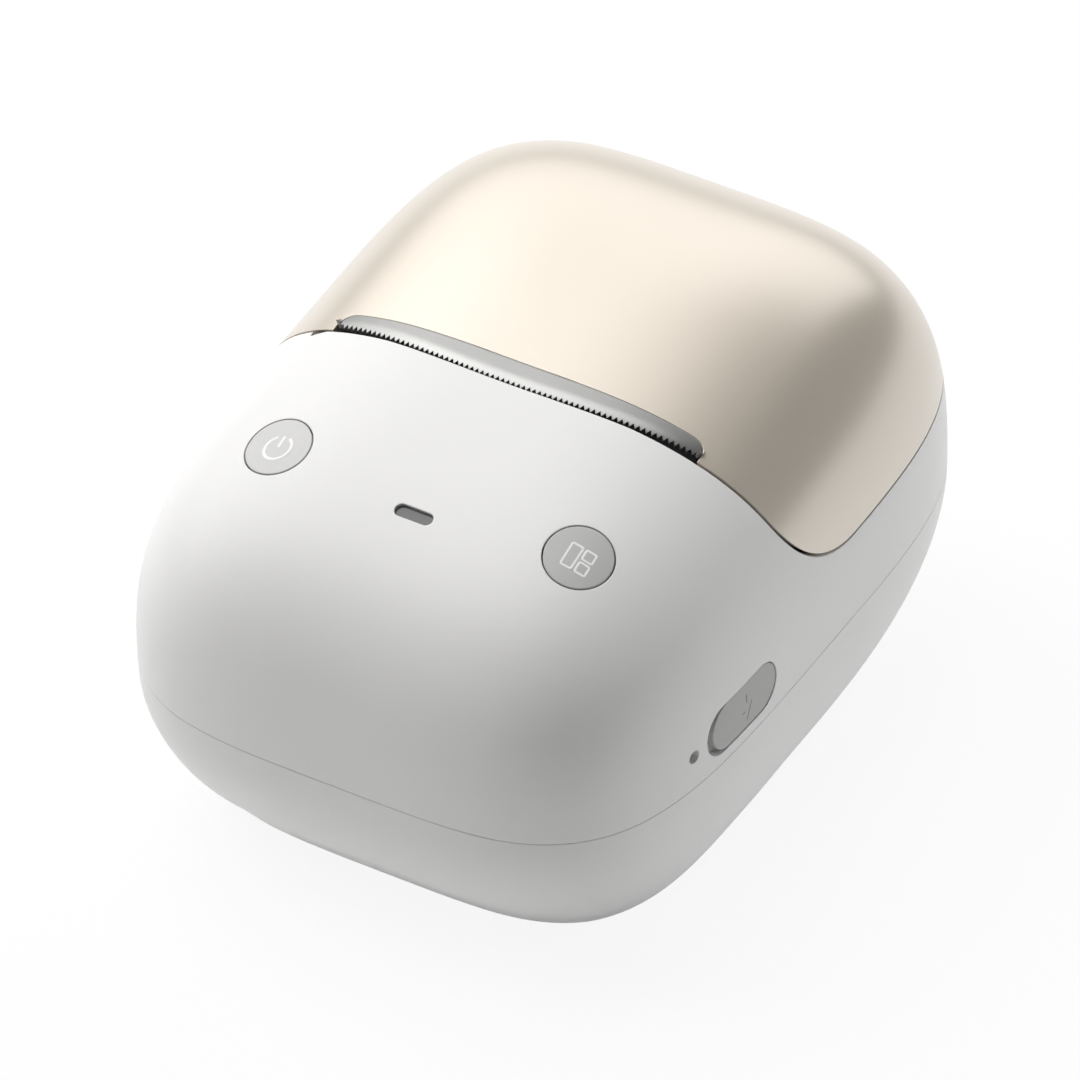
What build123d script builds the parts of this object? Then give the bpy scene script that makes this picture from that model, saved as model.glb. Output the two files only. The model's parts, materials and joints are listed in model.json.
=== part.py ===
from build123d import *
from math import acos, atan2, cos, degrees, hypot, pi, radians, sin, tan
import os

# Pocket label printer. Millimetres, +Z up, +X to the port side, -Y to the buttons.
# z = 0 is the surface that the rubber feet stand on.

# Outer form
half_width = 43.2
half_length = 56.8
body_height = 64.8          # from the flat bottom to the crown
waist_height = 26.2         # widest ring, where the two shells part
plan_power = 4.0            # squareness of the outline seen from above
dome_power = 3.0            # squareness of the side view
crown_shift = -1.3          # the crown lies a little forward
crown_tilt = 0.109          # and its rings rise towards the back
tuck_side = 0.187           # how far the bottom draws in at the sides
tuck_end = 0.071            # and how much more at the front and back
tuck_power = 2.05
crown_angle = 87.6          # the last ring, closed by a small flat
ring_steps = 32             # points on each ring of the form
bottom_round = 2.0
foot_height = 0.8

# Walls, seams and clearances
wall = 1.8
floor_wall = 2.0
parting_gap = 0.05
seam_gap = 0.35
fit_gap = 0.05              # running fit of a pin or shaft
part_gap = 0.3              # between pieces of different bodies
gear_gap = 0.3

# Lid
seam_front_y = -4.64        # front seam at seam_ref_height
seam_ref_height = 45.45
seam_slope = 0.286          # the front seam leans back as it goes down
seam_side_height = 40.1
seam_side_slope = 0.016
seam_corner_radius = 17.0

# Hinge
hinge_drop = 2.8            # axis below the rear seam
hinge_inset = 1.4           # back of the barrels to the rearmost point of the body
barrel_radius = 1.8
hinge_pin_radius = 0.8
lid_knuckle_half = 9.0
shell_knuckle_end = 17.0

# Label slot and tear bar
slot_half = 28.4
slot_edge_middle = -10.95
slot_edge_end = -8.8
tear_half = 28.2
tear_tip_middle = -10.6
tear_tip_end = -7.8
tear_rear_middle = -6.65
tear_rear_end = -5.6
tear_corner_radius = 2.0
tear_thickness = 0.9
tooth_pitch = 0.8
tooth_depth = 0.6

# Buttons and status light
button_x = 23.3
button_y = -31.8
button_hole_radius = 5.0
button_clearance = 0.22
button_proud = 0.0
button_skirt_radius = 5.8
button_skirt_bottom = 3.4
button_travel = 0.5
button_stem_radius = 1.5
button_stem_gap = 0.4       # from the pressed stem to its switch, which leans away from it
light_y = -35.4
light_length = 5.8
light_width = 2.0
light_recess = 0.5

# Port side
port_y = -21.5
port_z = 32.8
port_recess_length = 17.5
port_recess_height = 7.8
port_recess_depth = 1.25
port_window_length = 12.0
port_window_height = 4.6
port_boss_margin = 1.6
port_boss_depth = 3.4
cover_length = 15.9
cover_height = 7.45
cover_thickness = 1.1
cover_proud = -0.1
cover_plug_length = 8.4
cover_plug_height = 2.4
cover_plug_depth = 1.3
reset_y = -33.1
reset_z = 32.55
reset_radius = 1.0
reset_tube_wall = 0.9
reset_tube_end = 37.9
reset_switch_front = 37.5
reset_plunger = 0.8
reset_switch_size = (3.7, 4.0, 2.2)
usb_width = 8.94
usb_height = 3.26
usb_depth = 7.4
usb_wall = 0.3
usb_front_x = 38.9

# Platen, gears and motor
platen_y = -6.5
platen_z = 51.5
platen_radius = 4.0
platen_half = 25.4
platen_shaft_radius = 1.5
gear_module = 0.6
gear_pressure = 20.0
gear_addendum = 0.9         # in modules
gear_sweep_gap = 0.1        # round the platen gear as the lid lifts it out
gear_backlash = 0.16
gear_width = 1.8
platen_teeth = 14
idler_teeth = 28
pinion_teeth = 10
motor_y = -22.0
motor_z = 35.0
motor_radius = 7.5
motor_length = 12.0
motor_flange = 0.8
motor_flange_radius = 9.2
motor_boss_radius = 2.5
motor_shaft_radius = 0.75
motor_shaft_reach = 3.5     # how far the shaft runs into the motor
shaft_end = 0.3             # how far a shaft stands out of its gear
idler_axle_radius = 1.0
bush_radius = 2.5
bush_flange_radius = 3.4
bush_flange = 0.5

# Mechanism frame, and the lid's beam and brackets
frame_inner = 27.9
frame_plate = 1.2
frame_front = -27.0
frame_rear = -2.3
frame_top = 52.5
frame_window_top = 20.0
cross_wall_height = 9.0
label_guide_low = (-2.6, 38.6)     # y and z of the label guide's lower rear corner
label_guide_high = (-10.3, 44.4)   # and of its front corner, close under the platen
label_guide_rise = 1.2
bush_lead_in = 0.3
frame_foot = 4.0
frame_foot_y = -6.5
bracket_plate = 1.5
bracket_radius = 3.7
beam_clearance = 1.0        # from the platen to the beam over it
beam_setback = 0.8          # from the platen's front to the beam's
beam_rear = 5.0
lid_screw_x = 14.0
lid_screw_y = 2.0
lid_screw_length = 3.0
lid_screw_head = 1.0

# Print head
head_half = 26.5
head_gap = 0.3              # room for the label between head and platen
ceramic_thickness = 1.2
ceramic_low = 46.0
ceramic_high = 57.0
heatsink_thickness = 3.3
heatsink_low = 43.0
heatsink_high = 58.0
head_pin_radius = 1.2
head_pin_height = 44.6
head_spring_x = 15.0
head_spring_height = 48.0
head_spring_radius = 2.0
head_spring_wire = 0.35
head_spring_turns = 4
head_spring_gap = 0.4
head_spring_room = 3.2      # from the heatsink to the cross wall behind it
fin_pitch = 5.0
fin_slot_half = 1.2
fin_web = 1.8

# Roll bay and roll guides
bay_half = 27.7
bay_wall = 1.3
roll_y = 24.0
roll_z = 35.0
bay_radius = 24.5
deck_low = 39.3
deck_high = 40.5
deck_rear = 51.0
bay_leg = (26.0, 6.0)
bay_leg_rear = (22.0, 36.0)
bay_leg_radius = 2.4
guide_rest = 25.2           # inner face of a guide at its widest setting
guide_plate = 2.0
guide_radius = 15.0
guide_hub_radius = 8.0
guide_hub_height = 2.5
guide_stem_half = 1.5
rack_module = 0.8
rack_teeth = 12
rack_height = 3.0
rack_width = 2.6
rack_bottom = 4.4
rack_overlap = 6.0          # how far each rack runs past the middle
guide_travel = 15.0
guide_pin_radius = 1.2
guide_pin_head = 0.7
guide_pin_margin = 1.0      # the pin's head, beyond its shank
pivot_boss_margin = 2.0
rack_fence = 1.0            # low walls that keep the racks in mesh
rack_fence_rise = 1.5

# Battery, boards and fasteners
battery_half = 23.0
battery_front = -40.0
battery_rear = -10.0
battery_height = 10.0
battery_round = 2.0
battery_gap = 0.3
battery_stop = 1.2          # ribs across the floor, before and behind the pack
battery_stop_height = 4.0
board_thickness = 1.2
main_board_top = 31.15
main_board_left = -10.0
main_board_front = -48.0
main_board_rear = -27.5
main_board_margin = 1.2
lead_radius = 0.9
lead_x = 18.0
lead_y = -15.0
ribbon_left = -2.0
ribbon_width = 16.0
ribbon_thickness = 0.3
radio_height = 1.8
chip_height = 0.9
button_board_depth = 8.0
button_board_half = 24.2
button_board_front = 7.0
button_board_rear = 8.5
switch_size = 4.5
switch_height = 2.0
post_radius = 2.4
post_foot_radius = 3.2      # stouter round the screw's head
post_foot_height = 8.0
board_post_radius = 2.0
button_post_radius = 2.2
post_split = 14.0
post_web_half = 1.0
screw_seat = 7.0            # plastic under each case screw's head
front_web = (35.0, 44.0)    # low and high end of the webs from the posts to the wall
rear_web = (30.0, 38.3)
front_post = (27.5, -32.5)
rear_post = (31.7, 26.0)
screw_radius = 1.1
screw_clearance = 0.2
screw_head_radius = 1.9
screw_head_height = 1.6
screw_length = 14.0
screw_slot = (2.6, 0.7, 1.4)       # each arm of the cross recess
small_screw_radius = 0.8
board_screw_radius = 0.7
board_screw_head = 1.8
board_screw_length = 5.0
foot_radius = 4.5
foot_pocket = 0.5
foot_x = 21.0
foot_y = 30.0

far = 200.0                 # larger than the printer, for cutting tools


# Shared shapes

def block(x, y, z):
    """A box from its low and high values along each axis."""
    centre = Vector((x[0] + x[1]) / 2, (y[0] + y[1]) / 2, (z[0] + z[1]) / 2)
    return Pos(centre) * Box(x[1] - x[0], y[1] - y[0], z[1] - z[0])


def rod_x(x, y, z, radius):
    """A rod along X between two x values."""
    return Pos((x[0] + x[1]) / 2, y, z) * Rot(0, 90, 0) * Cylinder(radius, abs(x[1] - x[0]))


def rod_z(x, y, z, radius):
    """A rod along Z between two z values."""
    return Pos(x, y, (z[0] + z[1]) / 2) * Cylinder(radius, z[1] - z[0])


def stadium_x(x, y, z, length, height):
    """A prism along X whose section is a slot with round ends, long side along Y."""
    sketch = Plane.YZ * SlotOverall(length, height)
    return Pos(x[0], y, z) * extrude(sketch, x[1] - x[0])


def rod_on(plane, low, high, radius, x=0.0, y=0.0):
    """A rod along a plane's normal, between two heights over the plane."""
    return plane * Pos(x, y, (low + high) / 2) * Cylinder(radius, high - low)


def both_sides(x):
    """The same x on the left and on the right."""
    return (-x, x)


def join(piece, others):
    """One solid from a piece and the solids of the others."""
    return piece.fuse(*[solid for other in others for solid in other.solids()])


def ring(dome, down, inset, rise):
    """One closed section of the outer form, drawn in by inset."""
    points = []
    dome_scale = (1 - dome ** dome_power) ** (1 / dome_power)
    for step in range(ring_steps):
        turn = 2 * pi * step / ring_steps
        reach = (abs(cos(turn)) ** plan_power + abs(sin(turn)) ** plan_power) ** (-1 / plan_power)
        across, along = reach * cos(turn), reach * sin(turn)
        tuck = tuck_side + tuck_end * abs(along) ** plan_power
        scale_here = dome_scale * (1 - tuck * down ** tuck_power)
        y = (half_length - inset) * scale_here * along + crown_shift * dome
        z = foot_height + rise + (waist_height - rise) * (1 - down)
        z += (body_height - inset - waist_height) * dome + crown_tilt * dome * y
        points.append(Vector((half_width - inset) * scale_here * across, y, z))
    return Wire([Edge.make_spline(points, periodic=True)])


def form(inset=0.0, rise=0.0):
    """The rounded body as a solid, drawn in by inset, with its bottom raised by rise."""
    rings = [ring(0, down, inset, rise) for down in (1, 0.84, 0.66, 0.48, 0.3, 0.14, 0)]
    for angle in (4, 10, 18, 28, 38, 48, 58, 68, 77, 84, crown_angle):
        rings.append(ring(sin(radians(angle)) ** (2 / dome_power), 0, inset, rise))
    return Solid.make_loft(rings)


def top_point(x, y):
    """The point of the outer form above a place in plan."""
    dome = 0.9
    for _ in range(40):
        across = abs(x) / half_width
        along = abs(y - crown_shift * dome) / half_length
        reach = (across ** plan_power + along ** plan_power) ** (1 / plan_power)
        dome = (dome + (1 - reach ** dome_power) ** (1 / dome_power)) / 2
    z = foot_height + waist_height + (body_height - waist_height) * dome + crown_tilt * dome * y
    return Vector(x, y, z)


def rear_point(z):
    """How far back the middle of the outer form reaches, at a height over its waist."""
    y = half_length
    for _ in range(20):
        dome = (z - foot_height - waist_height) / (body_height - waist_height + crown_tilt * y)
        y = half_length * (1 - dome ** dome_power) ** (1 / dome_power) + crown_shift * dome
    return y


def top_plane(x, y):
    """A plane that lies on the outer form, its x direction across the printer."""
    step = 0.05
    across = top_point(x + step, y) - top_point(x - step, y)
    along = top_point(x, y + step) - top_point(x, y - step)
    return Plane(origin=top_point(x, y), x_dir=across, z_dir=across.cross(along))


def bowed_region(half, front_middle, front_end, rear_middle, rear_end):
    """A flat region across the printer whose front and rear edges are arcs."""
    front = ThreePointArc((-half, front_end), (0, front_middle), (half, front_end))
    rear = ThreePointArc((half, rear_end), (0, rear_middle), (-half, rear_end))
    sides = [Line(front @ 1, rear @ 0), Line(rear @ 1, front @ 0)]
    return make_face([front, sides[0], rear, sides[1]])


def upright(region, low, high):
    """A flat region made into a prism between two heights."""
    return Pos(0, 0, low) * extrude(region, high - low)


# Gears

def involute(angle):
    return tan(angle) - angle


def gear_outline(teeth, module, centre_y=0.0, centre_z=0.0, turned=0.0, plane=Plane.YZ):
    """An involute gear's face, one tooth pointing at the angle turned."""
    pitch = teeth * module / 2
    pressure = radians(gear_pressure)
    base = pitch * cos(pressure)
    root = pitch - 1.2 * module
    tip = pitch + gear_addendum * module
    tooth = (pi * module / 2 - gear_backlash) / (2 * pitch) + involute(pressure)
    start = max(base, root)
    flank = [start + (tip - start) * step / 3 for step in range(4)]
    half_angles = [tooth - involute(acos(min(1.0, base / radius))) for radius in flank]
    points = []
    for index in range(teeth):
        middle = turned + 2 * pi * index / teeth
        sides = [(root, -half_angles[0])] + [(r, -a) for r, a in zip(flank, half_angles)]
        sides += [(r, a) for r, a in zip(reversed(flank), reversed(half_angles))]
        sides += [(root, half_angles[0])]
        points += [(centre_y + r * cos(middle + a), centre_z + r * sin(middle + a)) for r, a in sides]
    if start == root:
        points = [p for i, p in enumerate(points) if i % 10 not in (0, 9)]
    return plane * make_face(Polyline(points, close=True))


def mesh_turn(turned, from_teeth, to_teeth, direction):
    """The angle of a gear that meshes with one turned by a given angle."""
    pitch_angle = 2 * pi / from_teeth
    offset = (turned - direction) % pitch_angle
    return direction + pi - offset * from_teeth / to_teeth + pi / to_teeth


def gear_radius(teeth, module=gear_module):
    return teeth * module / 2


def idler_centre():
    """The idler's centre, in mesh with both the platen gear and the motor pinion."""
    to_platen = gear_radius(platen_teeth) + gear_radius(idler_teeth)
    to_motor = gear_radius(pinion_teeth) + gear_radius(idler_teeth)
    dy, dz = motor_y - platen_y, motor_z - platen_z
    span = hypot(dy, dz)
    along = (to_platen ** 2 - to_motor ** 2 + span ** 2) / (2 * span)
    aside = (to_platen ** 2 - along ** 2) ** 0.5
    return (platen_y + (along * dy - aside * dz) / span,
            platen_z + (along * dz + aside * dy) / span)


# Cutting shapes that follow the seams

parting_z = foot_height + waist_height
floor_z = foot_height + floor_wall
seam_rear_z = foot_height + seam_side_height + seam_side_slope * half_length
hinge_y = half_length - hinge_inset - barrel_radius
hinge_z = seam_rear_z - hinge_drop
nip_y = platen_y - platen_radius


def seam_prism(gap):
    """The lid's share of the body: behind the front seam and over the side seam."""
    front_z = foot_height + seam_ref_height
    low_y = seam_front_y + seam_slope * (front_z - foot_height - seam_side_height)
    low = (low_y - gap, foot_height + seam_side_height + seam_side_slope * low_y - gap)
    rear = (far, foot_height + seam_side_height + seam_side_slope * far - gap)
    top_y = seam_front_y - seam_slope * (far - front_z) - gap
    outline = make_face(Polyline(low, rear, (far, far), (top_y, far), close=True))
    corner = outline.vertices().sort_by_distance((low[0], low[1], 0))[0]
    outline = fillet(corner, seam_corner_radius)
    return Pos(-far, 0, 0) * extrude(Plane.YZ * outline, 2 * far)


def slot_tool():
    """The label slot in the front shell, bowed towards the front."""
    region = bowed_region(slot_half, slot_edge_middle, slot_edge_end, 0, 0.5)
    return upright(region, platen_z, far)


def tear_region(gap):
    """The tear bar's outline in plan, without its teeth."""
    half = tear_half + gap
    region = bowed_region(half, tear_tip_middle - far * (gap > 0), tear_tip_end - far * (gap > 0),
                          tear_rear_middle + gap, tear_rear_end + gap)
    corners = region.vertices().sort_by(Axis.Y)[-2:]
    return fillet(corners, tear_corner_radius)


def port_prism(x, length, height, y=port_y):
    return stadium_x(x, y, port_z, length, height)


# Shells

def base_shell(hollow, inside_form):
    shell = hollow & block((-far, far), (-far, far), (-far, parting_z))
    root = floor_z - wall / 2
    bosses = [rod_z(x, y, (0, post_split), post_radius) for x, y in case_screws_at]
    bosses += [rod_z(x, y, (0, post_foot_height), post_foot_radius) for x, y in case_screws_at]
    bosses += [rod_z(x, y, (0, main_board_low), board_post_radius) for x, y in main_board_screws_at]
    for y in (battery_front - battery_gap - battery_stop, battery_rear + battery_gap):
        span = both_sides(battery_half + battery_stop)
        bosses.append(block(span, (y, y + battery_stop), (root, floor_z + battery_stop_height)))
    bosses.append(rod_z(0, roll_y, (root, rack_bottom - part_gap), guide_pin_radius + pivot_boss_margin))
    for side, y in ((-1, rack_front_y), (1, rack_rear_y)):
        x = sorted((side * (guide_rest + guide_plate), side * (guide_rest - guide_travel)))
        inner = y + side * (rack_depth + part_gap)
        span = sorted((inner, inner + side * rack_fence))
        bosses.append(block(x, span, (root, rack_bottom + rack_fence_rise)))
    shell = join(shell, [boss & inside_form for boss in bosses])
    holes = [rod_z(0, roll_y, (guide_pin_low, far), guide_pin_radius)]
    for x, y in case_screws_at:
        holes.append(rod_z(x, y, (-far, far), screw_radius + screw_clearance))
        holes.append(rod_z(x, y, (-far, post_split - screw_seat), screw_head_radius + screw_clearance))
    for x, y in feet_at.values():
        holes.append(rod_z(x, y, (-far, foot_height + foot_pocket), foot_radius))
    for x, y in main_board_screws_at:
        holes.append(rod_z(x, y, (main_board_top - board_screw_length, far), board_screw_radius))
    return shell.cut(*holes)


def screw_towers(inside_form):
    """Posts that hang from the upper shell to meet the base's posts, with a web to the wall."""
    towers = []
    for x, y in case_screws_at:
        low, high = front_web if y < 0 else rear_web
        towers.append(rod_z(x, y, (post_split, high), post_radius))
        side = half_width if x > 0 else -half_width
        towers.append(block(sorted((x, side)), (y - post_web_half, y + post_web_half), (low, high)))
    return [tower & inside_form for tower in towers]


def hinge_barrels(outer):
    """The shell's two knuckles, one on each side of the lid's."""
    ends = (lid_knuckle_half + part_gap, shell_knuckle_end)
    spans = (ends, (-ends[1], -ends[0]))
    return [rod_x(span, hinge_y, hinge_z, barrel_radius) & outer for span in spans]


def gear_room():
    """What the platen gear sweeps as it turns up about the hinge with the lid."""
    span = (gear_near_x - gear_width - gear_gap, gear_near_x + gear_gap)
    gear_tip = gear_radius(platen_teeth) + gear_addendum * gear_module
    reach = hypot(hinge_y - platen_y, hinge_z - platen_z) + gear_tip + gear_sweep_gap
    return rod_x(span, hinge_y, hinge_z, reach) & block((-far, 0), (-far, 0), (platen_z, far))


def top_shell(hollow, outer, inside_form):
    shell = hollow & block((-far, far), (-far, far), (parting_z + parting_gap, far))
    # the rear edge is rounded about the hinge, so that the lid can turn past it
    relief = block((-far, far), (hinge_y, far), (hinge_z, far))
    relief -= rod_x((-far, far), hinge_y, hinge_z, hinge_drop - part_gap)
    knuckle_reach = rear_point(hinge_z) - hinge_y
    notch = block(both_sides(lid_knuckle_half + part_gap), (hinge_y - 3 * barrel_radius, far),
                  (hinge_z - knuckle_reach - part_gap, far))
    shell = shell.cut(seam_prism(seam_gap), slot_tool(), relief, notch, gear_room())
    bosses = screw_towers(inside_form) + hinge_barrels(outer)
    for x in button_board_posts:
        bosses.append(rod_on(button_board_plane, 0, far, button_post_radius, x=x) & inside_form)
    port_boss = port_prism((half_width - port_boss_depth, half_width + 1),
                           port_recess_length + port_boss_margin, port_recess_height + port_boss_margin)
    bosses.append(port_boss & inside_form)
    reset_tube = rod_x((reset_tube_end, half_width), reset_y, reset_z, reset_radius + reset_tube_wall)
    bosses.append(reset_tube & inside_form)
    shell = join(shell, bosses)
    holes = [rod_x(both_sides(far), hinge_y, hinge_z, hinge_pin_radius)]
    for x in both_sides(button_x):
        holes.append(rod_on(top_plane(x, button_y), -4, 4, button_hole_radius))
    holes.append(top_plane(0, light_y) * extrude(SlotOverall(light_length, light_width), 4, both=True))
    holes.append(port_prism((half_width - 4, far), port_recess_length, port_recess_height)
                 - skin_at(port_recess_depth))
    holes.append(port_prism((usb_front_x - 1, far), port_window_length, port_window_height))
    holes.append(rod_x((reset_switch_front, far), reset_y, reset_z, reset_radius))
    for x, y in case_screws_at:
        holes.append(rod_z(x, y, (0, post_split - screw_seat + screw_length + 1), screw_radius))
    for x in button_board_posts:
        holes.append(rod_on(button_board_plane, -1, lid_screw_length + 0.5, small_screw_radius, x=x))
    return shell.cut(*holes)


def lid_cover(hollow, outer):
    lid = (hollow & seam_prism(0)) - upright(tear_region(0.1), platen_z, far)
    knuckle = rod_x(both_sides(lid_knuckle_half), hinge_y, hinge_z, barrel_radius)
    knuckle += block(both_sides(lid_knuckle_half), (hinge_y - barrel_radius, far), (hinge_z, seam_rear_z + 2))
    lid = join(lid, [knuckle & outer])
    lid -= rod_x(both_sides(far), hinge_y, hinge_z, hinge_pin_radius + fit_gap)
    return lid.solids().sort_by(SortBy.VOLUME)[-1]


def lid_frame():
    """The beam under the lid's front edge, with the brackets that carry the platen."""
    beam_front = nip_y + beam_setback
    pad_front = beam_front + 0.5
    seat_gap = 0.1
    outer_face = frame_inner - part_gap
    end_front = slot_edge_end + part_gap
    beam = block(both_sides(outer_face), (beam_front, beam_rear), (beam_low, far)) & skin_at(wall + seat_gap)
    beam &= upright(bowed_region(outer_face, beam_front, end_front, beam_rear + 2, beam_rear + 1), beam_low, far)
    pad = upright(bowed_region(tear_half - 1, pad_front, pad_front + 2, tear_rear_middle - beam_setback,
                               tear_rear_end - beam_setback), beam_low, far)
    frame = beam + (pad & skin_at(tear_thickness + seat_gap))
    for low_x in (-outer_face, outer_face - bracket_plate):
        span = (low_x, low_x + bracket_plate)
        arm = block(span, (end_front, platen_y + bracket_radius), (platen_z, beam_low + 0.5))
        frame += arm + rod_x(span, platen_y, platen_z, bracket_radius)
    frame -= rod_x(both_sides(far), platen_y, platen_z, bush_radius)
    for x in both_sides(lid_screw_x):
        frame -= rod_z(x, lid_screw_y, (0, far), small_screw_radius)
    return frame


def lid_screws():
    return [rod_z(x, lid_screw_y, (beam_low - lid_screw_head, beam_low), board_screw_head)
            + rod_z(x, lid_screw_y, (beam_low, beam_low + lid_screw_length), small_screw_radius)
            for x in both_sides(lid_screw_x)]


def tear_bar(outer):
    """A thin curved blade, flush with the lid, with saw teeth along its front edge."""
    blade = upright(tear_region(0), platen_z, far)
    chord = tear_half - 0.3
    count = int(2 * chord / tooth_pitch)
    sag = tear_tip_end - tear_tip_middle
    teeth = []
    for index in range(count + 1):
        x = -chord + index * 2 * chord / count
        y = tear_tip_middle + sag * (x / chord) ** 2
        teeth.append((x, y))
        if index < count:
            middle = x + chord / count
            teeth.append((middle, tear_tip_middle + sag * (middle / chord) ** 2 + tooth_depth))
    outline = [(-tear_half, teeth[0][1] + tooth_depth)] + teeth
    outline += [(tear_half, teeth[-1][1] + tooth_depth), (tear_half, 0), (-tear_half, 0)]
    comb = upright(make_face(Polyline(outline, close=True)), platen_z, far)
    return ((blade & comb) & outer) - skin_at(tear_thickness)


# Buttons, light and port

def button(outer_proud, skin_under, x):
    place = top_plane(x, button_y)
    radius = button_hole_radius - button_clearance
    cap = rod_on(place, -button_skirt_bottom, 2, radius) & outer_proud
    skirt = rod_on(place, -button_skirt_bottom, 0, button_skirt_radius) & skin_under
    depth = button_switch_depth(x) - button_travel - button_stem_gap
    stem = rod_on(place, -depth, -button_skirt_bottom + 0.2, button_stem_radius)
    return cap + skirt + stem


def button_switch_depth(x):
    """Depth under the outer form, along the button's axis, of its switch's top."""
    place = top_plane(x, button_y)
    height = (place.origin - button_board_plane.origin).dot(button_board_plane.z_dir)
    return (height - switch_height) / place.z_dir.dot(button_board_plane.z_dir)


def switch_point(x):
    """Where a button's axis meets its switch, on the button board."""
    place = top_plane(x, button_y)
    height = (place.origin - button_board_plane.origin).dot(button_board_plane.z_dir)
    hit = place.origin - place.z_dir * (height / place.z_dir.dot(button_board_plane.z_dir))
    return button_board_plane.to_local_coords(hit)


def button_switches():
    switches = []
    for x in both_sides(button_x):
        local = switch_point(x)
        body = Pos(local.X, local.Y, 0.75) * Box(switch_size, switch_size, 1.5)
        plunger = Pos(local.X, local.Y, 1.75) * Cylinder(1.2, 0.5)
        switches.append(button_board_plane * (body + plunger))
    return switches


def button_board():
    depth = button_board_front + button_board_rear
    sheet = Pos(0, (button_board_rear - button_board_front) / 2, -board_thickness / 2)
    board = sheet * Box(2 * button_board_half, depth, board_thickness)
    board = fillet(board.edges().filter_by(Axis.Z), 2)
    for x in button_board_posts:
        board -= Pos(x, 0, 0) * Cylinder(screw_radius, 5)
    return button_board_plane * board


def button_board_screws():
    screws = []
    for x in button_board_posts:
        low = -board_thickness
        shank = rod_on(button_board_plane, low, lid_screw_length, small_screw_radius, x=x)
        head = rod_on(button_board_plane, low - lid_screw_head, low, board_screw_head, x=x)
        screws.append(shank + head)
    return screws


def status_led():
    local = button_board_plane.to_local_coords(top_point(0, light_y) - top_plane(0, light_y).z_dir * 8)
    return button_board_plane * Pos(local.X, local.Y, 0.4) * Box(2.0, 1.25, 0.8)


def light_guide():
    clear = 0.1
    bar = top_plane(0, light_y) * extrude(SlotOverall(light_length - clear, light_width - clear), -6.2)
    collar = top_plane(0, light_y) * extrude(SlotOverall(light_length + 2, light_width + 2), -3.4)
    return (bar & skin_at(light_recess)) + (collar & skin_at(wall + 0.1))


def usb_cover():
    """A rubber flap in the port recess, with the tongue that seals the socket."""
    rear_gap = 0.15
    y = port_y + (port_recess_length - cover_length) / 2 - rear_gap
    plate = port_prism((half_width - 4, far), cover_length, cover_height, y)
    plate &= skin_at(-cover_proud)
    plate -= skin_at(-cover_proud + cover_thickness)
    tongue = port_prism((half_width - 0.9 - port_recess_depth - cover_plug_depth, half_width - 0.9),
                        cover_plug_length, cover_plug_height)
    return plate + (tongue & skin_at(-cover_proud + 0.3))


def usb_socket():
    outside = stadium_x((usb_front_x - usb_depth, usb_front_x), port_y, port_z, usb_width, usb_height)
    hollow = stadium_x((usb_front_x - usb_depth + 1, usb_front_x + 1), port_y, port_z,
                       usb_width - 2 * usb_wall, usb_height - 2 * usb_wall)
    tongue = block((usb_front_x - usb_depth, usb_front_x - 1), (port_y - 3.3, port_y + 3.3),
                   (port_z - 0.35, port_z + 0.35))
    return outside - hollow + tongue


def reset_switch():
    length, width, height = reset_switch_size
    body_front = reset_switch_front - reset_plunger
    body = block((body_front - length, body_front), (reset_y - width / 2, reset_y + width / 2),
                 (main_board_top, main_board_top + height))
    return body + rod_x((body_front, reset_switch_front), reset_y, reset_z, reset_radius / 2)


# Boards and battery

def main_board():
    board = block((main_board_left, half_width), (main_board_front, main_board_rear),
                  (main_board_low, main_board_top))
    tab = block((usb_front_x - usb_depth - 1, half_width), (main_board_rear - 1, port_y + usb_width / 2 + 1),
                (main_board_low, main_board_top))
    board = (board + tab) & skin_at(wall + main_board_margin)
    boss_margin = port_boss_margin + 0.8
    board -= port_prism((half_width - port_boss_depth - 0.4, far), port_recess_length + boss_margin,
                        port_recess_height + boss_margin)
    board -= rod_z(front_post[0], front_post[1], (0, far), post_radius + 0.4)
    tube_room = reset_radius + reset_tube_wall + part_gap
    board -= block((reset_tube_end - part_gap, far), (reset_y - tube_room, reset_y + tube_room), (0, far))
    for x, y in main_board_screws_at:
        board -= rod_z(x, y, (0, far), screw_radius)
    return board


def main_board_screws():
    low, high = main_board_top - board_screw_length, main_board_top + lid_screw_head
    return [rod_z(x, y, (low, high), board_screw_radius)
            + rod_z(x, y, (main_board_top, high), board_screw_head)
            for x, y in main_board_screws_at]


def battery_pack():
    pack = block(both_sides(battery_half), (battery_front, battery_rear), (floor_z, floor_z + battery_height))
    return fillet(pack.edges().filter_by(Axis.X), battery_round)


def battery_connector():
    width, length, height = 7.0, 4.5, 3.0
    return block((lead_x - width / 2, lead_x + width / 2), (plug_mouth_y - length, plug_mouth_y),
                 (main_board_low - height, main_board_low))


def battery_lead():
    """From the pack straight up, then forward into the plug under the main board."""
    height = main_board_low - 1.5
    start = (lead_x, lead_y, floor_z + battery_height)
    end = (lead_x, plug_mouth_y, height)
    bend = 0.45 * (lead_y - end[1])
    path = FilletPolyline(start, (lead_x, lead_y, height), end, radius=bend)
    section = Plane(origin=start, z_dir=(0, 0, 1)) * Circle(lead_radius)
    return sweep(section, path)


def head_connector():
    cheek, length, height = 1.5, 4.0, 2.0
    return block((ribbon_left - cheek, ribbon_left + ribbon_width + cheek),
                 (plug_mouth_y - length, plug_mouth_y), (main_board_top, main_board_top + height))


def head_ribbon():
    """A flat cable from under the print head down and forward to its connector."""
    height, top = main_board_top + 1.0, heatsink_low - ribbon_thickness
    path = FilletPolyline((head_pin_y, top), (head_pin_y, height), (plug_mouth_y, height), radius=4)
    strip = Plane.YZ * trace(path, ribbon_thickness)
    return Pos(ribbon_left, 0, 0) * extrude(strip, ribbon_width)


def radio_module():
    return block((-1, 10), (-44, -34), (main_board_top, main_board_top + radio_height))


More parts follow.
